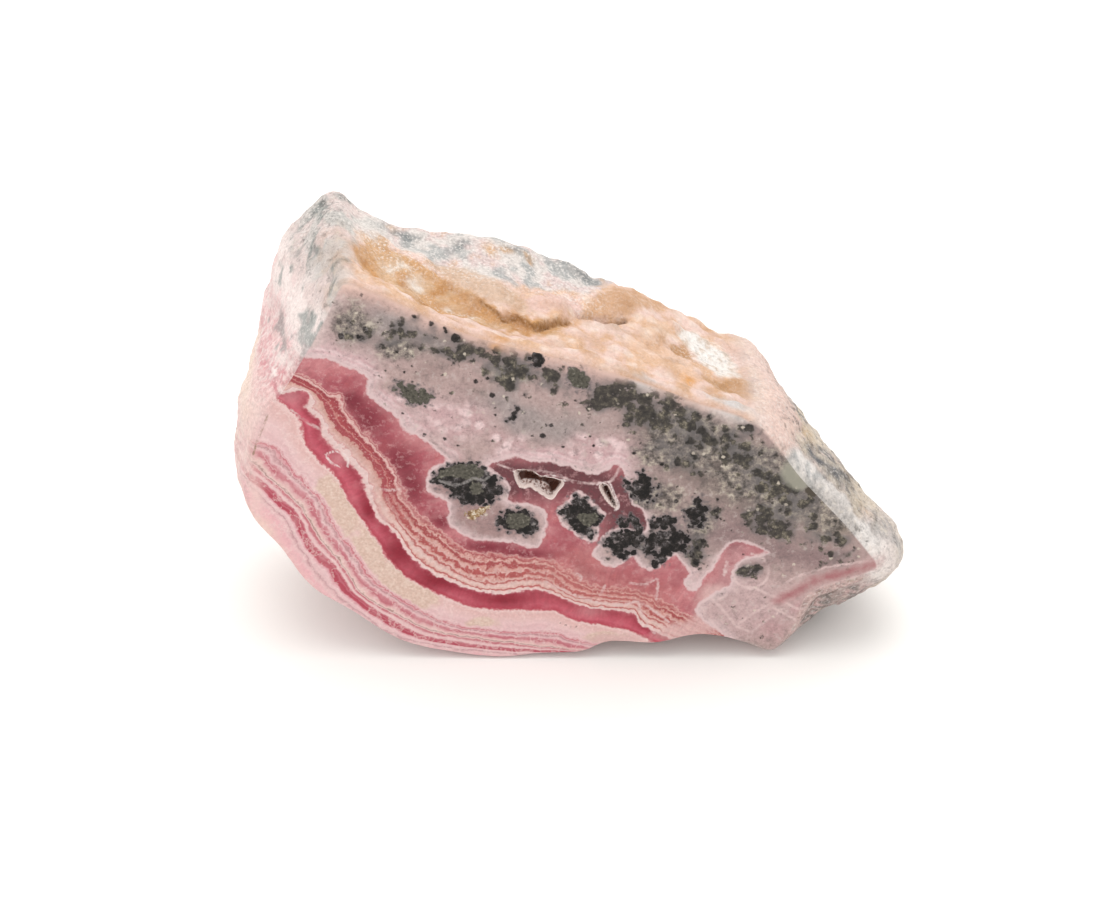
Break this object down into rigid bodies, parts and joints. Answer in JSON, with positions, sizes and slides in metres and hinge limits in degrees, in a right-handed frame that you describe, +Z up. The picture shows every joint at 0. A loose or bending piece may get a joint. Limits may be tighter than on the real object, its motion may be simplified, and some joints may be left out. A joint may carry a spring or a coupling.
{
  "type": "rhodochrosite slice",
  "caption": "Thick slice of banded pink rhodochrosite with dark sulphide clusters, polished on its front cut and rough and broken round its edge.",
  "frame": {"origin": "centre of the bounding box at the level the stone rests on", "axes": "+X to the right along the polished face, +Y from the polished front to the sawn back, +Z up; the polished face looks towards -Y and leans back 8 degrees"},
  "size_m": [0.0941, 0.0342, 0.0597],
  "materials": {
    "rhodochrosite": "sawn and polished front, rough broken edge"
  },
  "bodies": {
    "root": {"rhodochrosite_slice": "rhodochrosite"}
  },
  "joints": []
}
